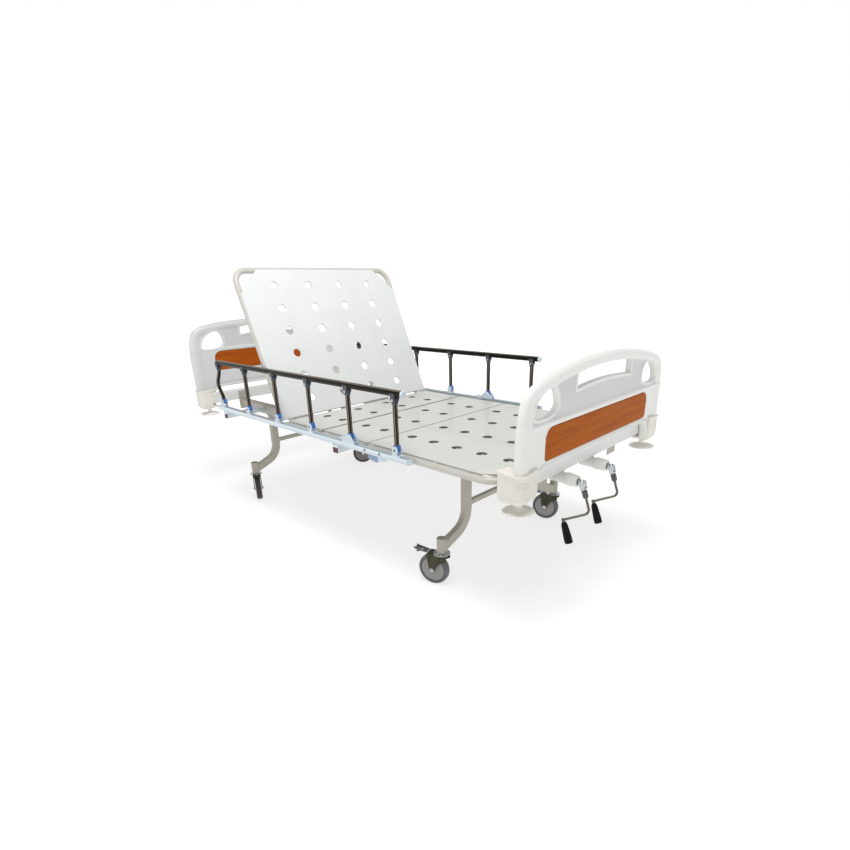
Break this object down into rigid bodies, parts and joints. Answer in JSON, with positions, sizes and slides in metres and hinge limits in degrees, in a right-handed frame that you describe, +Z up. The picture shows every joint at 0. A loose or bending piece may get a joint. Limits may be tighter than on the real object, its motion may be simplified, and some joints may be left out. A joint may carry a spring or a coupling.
{
  "type": "adjustable hospital bed",
  "caption": "Hospital bed with crank-raised backrest and knee section, perforated deck, moulded end boards, folding side rails and swivel casters.",
  "frame": {"origin": "middle of the bed's footprint, on the floor", "axes": "+X towards the foot end with the cranks, +Y towards the bed's right-hand rail as seen from the foot end, +Z up"},
  "size_m": [2.263, 1.0128, 1.1759],
  "materials": {
    "frame_paint": "satin",
    "deck_paint": "satin",
    "board_plastic": "gloss",
    "wood_insert": "satin",
    "bumper_plastic": "satin",
    "housing_plastic": "satin",
    "rail_aluminium": "satin",
    "rail_tube": "polished",
    "latch_plastic": "satin",
    "chrome_steel": "polished",
    "crank_steel": "satin",
    "grip_plastic": "matte",
    "caster_metal": "satin",
    "caster_wheel": "matte"
  },
  "bodies": {
    "bed_frame": {"base_frame": "frame_paint", "leg_frame_head": "frame_paint", "leg_frame_foot": "frame_paint", "seat_panel": "deck_paint", "headboard": "board_plastic", "headboard_insert": "wood_insert", "footboard": "board_plastic", "footboard_insert": "wood_insert", "crank_housing": "housing_plastic", "rail_bar_left": "rail_aluminium", "rail_bar_right": "rail_aluminium", "corner_bumper_head_left": "bumper_plastic", "corner_bumper_head_right": "bumper_plastic", "corner_bumper_foot_left": "bumper_plastic", "corner_bumper_foot_right": "bumper_plastic"},
    "backrest": {"backrest_frame": "frame_paint", "backrest_panel": "deck_paint"},
    "thigh_section": {"thigh_panel": "deck_paint"},
    "calf_section": {"calf_frame": "frame_paint", "calf_panel": "deck_paint"},
    "backrest_drive_nut": {"backrest_push_tube": "crank_steel"},
    "backrest_drive_screw": {"backrest_spindle": "chrome_steel"},
    "backrest_crank_swing": {"backrest_crank_joint": "chrome_steel"},
    "backrest_crank_arm": {"backrest_crank": "crank_steel"},
    "backrest_crank_grip": {"backrest_grip": "grip_plastic"},
    "leg_drive_nut": {"leg_push_tube": "crank_steel"},
    "leg_drive_screw": {"leg_spindle": "chrome_steel"},
    "leg_crank_swing": {"leg_crank_joint": "chrome_steel"},
    "leg_crank_arm": {"leg_crank": "crank_steel"},
    "leg_crank_grip": {"leg_grip": "grip_plastic"},
    "caster_swivel_head_left": {"caster_fork_head_left": "caster_metal"},
    "wheel_head_left": {"caster_wheel_head_left": "caster_wheel"},
    "roller_head_left": {"roller_disc_head_left": "bumper_plastic"},
    "caster_swivel_head_right": {"caster_fork_head_right": "caster_metal"},
    "wheel_head_right": {"caster_wheel_head_right": "caster_wheel"},
    "roller_head_right": {"roller_disc_head_right": "bumper_plastic"},
    "caster_swivel_foot_left": {"caster_fork_foot_left": "caster_metal"},
    "wheel_foot_left": {"caster_wheel_foot_left": "caster_wheel"},
    "pedal_foot_left": {"brake_pedal_foot_left": "caster_metal"},
    "roller_foot_left": {"roller_disc_foot_left": "bumper_plastic"},
    "caster_swivel_foot_right": {"caster_fork_foot_right": "caster_metal"},
    "wheel_foot_right": {"caster_wheel_foot_right": "caster_wheel"},
    "pedal_foot_right": {"brake_pedal_foot_right": "caster_metal"},
    "roller_foot_right": {"roller_disc_foot_right": "bumper_plastic"},
    "post_1_left": {"rail_post_1_left": "rail_tube"},
    "post_2_left": {"rail_post_2_left": "rail_tube"},
    "post_3_left": {"rail_post_3_left": "rail_tube"},
    "post_4_left": {"rail_post_4_left": "rail_tube"},
    "post_5_left": {"rail_post_5_left": "rail_tube"},
    "post_6_left": {"rail_post_6_left": "rail_tube"},
    "top_rail_left": {"rail_top_left": "rail_tube"},
    "latch_left": {"rail_latch_left": "latch_plastic"},
    "post_1_right": {"rail_post_1_right": "rail_tube"},
    "post_2_right": {"rail_post_2_right": "rail_tube"},
    "post_3_right": {"rail_post_3_right": "rail_tube"},
    "post_4_right": {"rail_post_4_right": "rail_tube"},
    "post_5_right": {"rail_post_5_right": "rail_tube"},
    "post_6_right": {"rail_post_6_right": "rail_tube"},
    "top_rail_right": {"rail_top_right": "rail_tube"},
    "latch_right": {"rail_latch_right": "latch_plastic"}
  },
  "joints": [
    {"name": "backrest_hinge", "type": "hinge", "parent": "bed_frame", "child": "backrest", "pos_m": [-0.27352, 0, 0.5052], "axis": [0, 1, 0], "range_deg": [-67, 8]},
    {"name": "thigh_hinge", "type": "hinge", "parent": "bed_frame", "child": "thigh_section", "pos_m": [0.01248, 0, 0.5052], "axis": [0, -1, 0], "range_deg": [0, 40]},
    {"name": "knee_hinge", "type": "hinge", "parent": "thigh_section", "child": "calf_section", "pos_m": [0.30948, 0, 0.5052], "axis": [0, -1, 0], "range_deg": [-58, 0]},
    {"name": "backrest_push", "type": "slide", "parent": "bed_frame", "child": "backrest_drive_nut", "axis": [1, 0, 0], "range_m": [-0.0089, 0.0672]},
    {"name": "backrest_screw_turn", "type": "hinge", "parent": "bed_frame", "child": "backrest_drive_screw", "pos_m": [1.09448, -0.198, 0.474], "axis": [1, 0, 0], "range_deg": [-4772, 572]},
    {"name": "backrest_crank_fold", "type": "hinge", "parent": "bed_frame", "child": "backrest_crank_swing", "pos_m": [1.09448, -0.198, 0.474], "axis": [0, -1, 0], "range_deg": [-20, 70]},
    {"name": "backrest_crank_turn", "type": "hinge", "parent": "backrest_crank_swing", "child": "backrest_crank_arm", "pos_m": [1.09448, -0.198, 0.474], "axis": [0.342, 0, -0.9397], "range_deg": [-4772, 572]},
    {"name": "backrest_grip_spin", "type": "hinge", "parent": "backrest_crank_arm", "child": "backrest_crank_grip", "pos_m": [1.06591, -0.25218, 0.34974], "axis": [0.342, 0, -0.9397], "continuous": true},
    {"name": "leg_push", "type": "slide", "parent": "bed_frame", "child": "leg_drive_nut", "axis": [1, 0, 0], "range_m": [-0.001, 0.042]},
    {"name": "leg_screw_turn", "type": "hinge", "parent": "bed_frame", "child": "leg_drive_screw", "pos_m": [1.09448, 0.01, 0.474], "axis": [1, 0, 0], "range_deg": [-2, 2958]},
    {"name": "leg_crank_fold", "type": "hinge", "parent": "bed_frame", "child": "leg_crank_swing", "pos_m": [1.09448, 0.01, 0.474], "axis": [0, -1, 0], "range_deg": [-20, 70]},
    {"name": "leg_crank_turn", "type": "hinge", "parent": "leg_crank_swing", "child": "leg_crank_arm", "pos_m": [1.09448, 0.01, 0.474], "axis": [0.342, 0, -0.9397], "range_deg": [-2, 2958]},
    {"name": "leg_grip_spin", "type": "hinge", "parent": "leg_crank_arm", "child": "leg_crank_grip", "pos_m": [1.06591, -0.04418, 0.34974], "axis": [0.342, 0, -0.9397], "continuous": true},
    {"name": "swivel_head_left", "type": "hinge", "parent": "bed_frame", "child": "caster_swivel_head_left", "pos_m": [-0.74852, -0.399, 0], "axis": [0, 0, 1], "continuous": true},
    {"name": "wheel_spin_head_left", "type": "hinge", "parent": "caster_swivel_head_left", "child": "wheel_head_left", "pos_m": [-0.71796, -0.41391, 0.0625], "axis": [-0.4384, -0.8988, 0], "continuous": true},
    {"name": "roller_spin_head_left", "type": "hinge", "parent": "bed_frame", "child": "roller_head_left", "pos_m": [-1.08052, -0.45, 0.45], "axis": [0, 0, 1], "continuous": true},
    {"name": "swivel_head_right", "type": "hinge", "parent": "bed_frame", "child": "caster_swivel_head_right", "pos_m": [-0.74852, 0.399, 0], "axis": [0, 0, 1], "continuous": true},
    {"name": "wheel_spin_head_right", "type": "hinge", "parent": "caster_swivel_head_right", "child": "wheel_head_right", "pos_m": [-0.76992, 0.37258, 0.0625], "axis": [-0.7771, 0.6293, 0], "continuous": true},
    {"name": "roller_spin_head_right", "type": "hinge", "parent": "bed_frame", "child": "roller_head_right", "pos_m": [-1.08052, 0.45, 0.45], "axis": [0, 0, 1], "continuous": true},
    {"name": "swivel_foot_left", "type": "hinge", "parent": "bed_frame", "child": "caster_swivel_foot_left", "pos_m": [0.64848, -0.399, 0], "axis": [0, 0, 1], "continuous": true},
    {"name": "wheel_spin_foot_left", "type": "hinge", "parent": "caster_swivel_foot_left", "child": "wheel_foot_left", "pos_m": [0.61564, -0.4078, 0.0625], "axis": [-0.2588, 0.9659, 0], "continuous": true},
    {"name": "brake_foot_left", "type": "hinge", "parent": "caster_swivel_foot_left", "child": "pedal_foot_left", "pos_m": [0.59052, -0.41453, 0.1305], "axis": [-0.2588, 0.9659, 0], "range_deg": [0, 15]},
    {"name": "roller_spin_foot_left", "type": "hinge", "parent": "bed_frame", "child": "roller_foot_left", "pos_m": [1.01948, -0.45, 0.45], "axis": [0, 0, 1], "continuous": true},
    {"name": "swivel_foot_right", "type": "hinge", "parent": "bed_frame", "child": "caster_swivel_foot_right", "pos_m": [0.64848, 0.399, 0], "axis": [0, 0, 1], "continuous": true},
    {"name": "wheel_spin_foot_right", "type": "hinge", "parent": "caster_swivel_foot_right", "child": "wheel_foot_right", "pos_m": [0.61564, 0.3902, 0.0625], "axis": [-0.2588, 0.9659, 0], "continuous": true},
    {"name": "brake_foot_right", "type": "hinge", "parent": "caster_swivel_foot_right", "child": "pedal_foot_right", "pos_m": [0.59052, 0.38347, 0.1305], "axis": [-0.2588, 0.9659, 0], "range_deg": [0, 15]},
    {"name": "roller_spin_foot_right", "type": "hinge", "parent": "bed_frame", "child": "roller_foot_right", "pos_m": [1.01948, 0.45, 0.45], "axis": [0, 0, 1], "continuous": true},
    {"name": "rail_fold_left", "type": "hinge", "parent": "bed_frame", "child": "post_1_left", "pos_m": [-0.78252, -0.492, 0.545], "axis": [0, 1, 0], "range_deg": [0, 80]},
    {"name": "post_2_fold_left", "type": "hinge", "parent": "bed_frame", "child": "post_2_left", "pos_m": [-0.52052, -0.492, 0.545], "axis": [0, 1, 0], "range_deg": [0, 80]},
    {"name": "post_3_fold_left", "type": "hinge", "parent": "bed_frame", "child": "post_3_left", "pos_m": [-0.25852, -0.492, 0.545], "axis": [0, 1, 0], "range_deg": [0, 80]},
    {"name": "post_4_fold_left", "type": "hinge", "parent": "bed_frame", "child": "post_4_left", "pos_m": [0.00348, -0.492, 0.545], "axis": [0, 1, 0], "range_deg": [0, 80]},
    {"name": "post_5_fold_left", "type": "hinge", "parent": "bed_frame", "child": "post_5_left", "pos_m": [0.26548, -0.492, 0.545], "axis": [0, 1, 0], "range_deg": [0, 80]},
    {"name": "post_6_fold_left", "type": "hinge", "parent": "bed_frame", "child": "post_6_left", "pos_m": [0.52748, -0.492, 0.545], "axis": [0, 1, 0], "range_deg": [0, 80]},
    {"name": "top_rail_level_left", "type": "hinge", "parent": "post_1_left", "child": "top_rail_left", "pos_m": [-0.78252, -0.492, 0.722], "axis": [0, 1, 0], "range_deg": [-80, 0]},
    {"name": "latch_pull_left", "type": "hinge", "parent": "bed_frame", "child": "latch_left", "pos_m": [0.37748, -0.492, 0.4918], "axis": [0, 1, 0], "range_deg": [0, 15], "stiffness_Nm_per_rad": 0.5, "springref_deg": -28.65},
    {"name": "rail_fold_right", "type": "hinge", "parent": "bed_frame", "child": "post_1_right", "pos_m": [-0.87752, 0.492, 0.545], "axis": [0, 1, 0], "range_deg": [0, 80]},
    {"name": "post_2_fold_right", "type": "hinge", "parent": "bed_frame", "child": "post_2_right", "pos_m": [-0.61552, 0.492, 0.545], "axis": [0, 1, 0], "range_deg": [0, 80]},
    {"name": "post_3_fold_right", "type": "hinge", "parent": "bed_frame", "child": "post_3_right", "pos_m": [-0.35352, 0.492, 0.545], "axis": [0, 1, 0], "range_deg": [0, 80]},
    {"name": "post_4_fold_right", "type": "hinge", "parent": "bed_frame", "child": "post_4_right", "pos_m": [-0.09152, 0.492, 0.545], "axis": [0, 1, 0], "range_deg": [0, 80]},
    {"name": "post_5_fold_right", "type": "hinge", "parent": "bed_frame", "child": "post_5_right", "pos_m": [0.17048, 0.492, 0.545], "axis": [0, 1, 0], "range_deg": [0, 80]},
    {"name": "post_6_fold_right", "type": "hinge", "parent": "bed_frame", "child": "post_6_right", "pos_m": [0.43248, 0.492, 0.545], "axis": [0, 1, 0], "range_deg": [0, 80]},
    {"name": "top_rail_level_right", "type": "hinge", "parent": "post_1_right", "child": "top_rail_right", "pos_m": [-0.87752, 0.492, 0.722], "axis": [0, 1, 0], "range_deg": [-80, 0]},
    {"name": "latch_pull_right", "type": "hinge", "parent": "bed_frame", "child": "latch_right", "pos_m": [0.28248, 0.492, 0.4918], "axis": [0, 1, 0], "range_deg": [0, 15], "stiffness_Nm_per_rad": 0.5, "springref_deg": -28.65}
  ],
  "couplings": [
    {"joint": "knee_hinge", "follows": "thigh_hinge", "ratio": -1.4375},
    {"joint": "backrest_push", "follows": "backrest_hinge", "m_per_rad": -0.05664},
    {"joint": "backrest_screw_turn", "follows": "backrest_hinge", "ratio": 71.18},
    {"joint": "backrest_crank_turn", "follows": "backrest_hinge", "ratio": 71.18},
    {"joint": "leg_push", "follows": "thigh_hinge", "m_per_rad": 0.05879},
    {"joint": "leg_screw_turn", "follows": "thigh_hinge", "ratio": 73.88},
    {"joint": "leg_crank_turn", "follows": "thigh_hinge", "ratio": 73.88},
    {"joint": "post_2_fold_left", "follows": "rail_fold_left", "ratio": 1},
    {"joint": "post_3_fold_left", "follows": "rail_fold_left", "ratio": 1},
    {"joint": "post_4_fold_left", "follows": "rail_fold_left", "ratio": 1},
    {"joint": "post_5_fold_left", "follows": "rail_fold_left", "ratio": 1},
    {"joint": "post_6_fold_left", "follows": "rail_fold_left", "ratio": 1},
    {"joint": "top_rail_level_left", "follows": "rail_fold_left", "ratio": -1},
    {"joint": "post_2_fold_right", "follows": "rail_fold_right", "ratio": 1},
    {"joint": "post_3_fold_right", "follows": "rail_fold_right", "ratio": 1},
    {"joint": "post_4_fold_right", "follows": "rail_fold_right", "ratio": 1},
    {"joint": "post_5_fold_right", "follows": "rail_fold_right", "ratio": 1},
    {"joint": "post_6_fold_right", "follows": "rail_fold_right", "ratio": 1},
    {"joint": "top_rail_level_right", "follows": "rail_fold_right", "ratio": -1}
  ]
}
